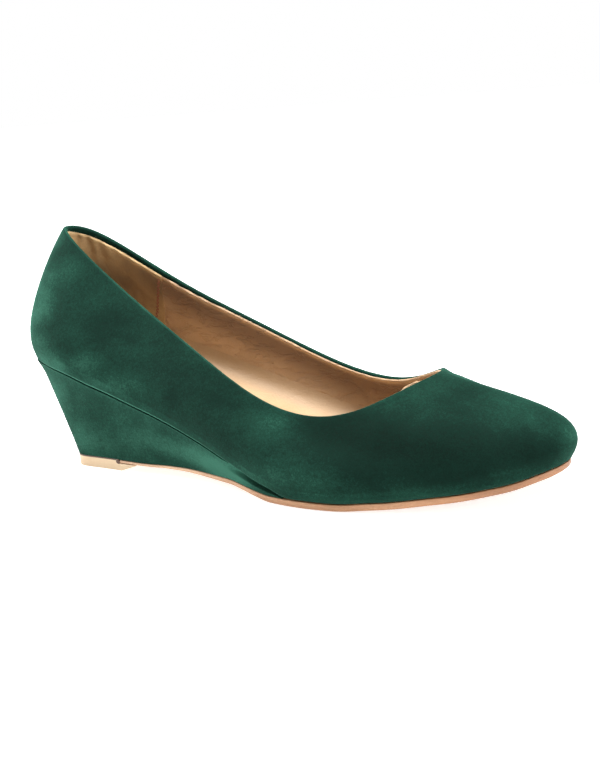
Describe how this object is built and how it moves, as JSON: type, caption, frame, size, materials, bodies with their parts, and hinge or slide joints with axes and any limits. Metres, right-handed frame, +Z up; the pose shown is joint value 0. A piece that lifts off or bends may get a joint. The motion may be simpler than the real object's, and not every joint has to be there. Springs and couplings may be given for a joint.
{
  "type": "wedge pump",
  "caption": "Low-cut green suede pump for a right foot, with a rounded toe and a suede-covered wedge heel on a thin tan outsole.",
  "frame": {"origin": "on the floor, under the middle of the shoe's box", "axes": "+X from heel to toe, +Y to the inner side of the foot, +Z up"},
  "size_m": [0.2342, 0.082, 0.0985],
  "materials": {
    "upper": "dark green suede, napped",
    "insole": "tan lining leather, matt",
    "wedge": "dark green suede, napped",
    "outsole": "tan rubber, satin",
    "top_piece": "pale tan rubber, satin"
  },
  "bodies": {
    "root": {"upper": "upper", "insole": "insole", "wedge": "wedge", "outsole": "outsole", "top_piece": "top_piece"}
  },
  "joints": []
}
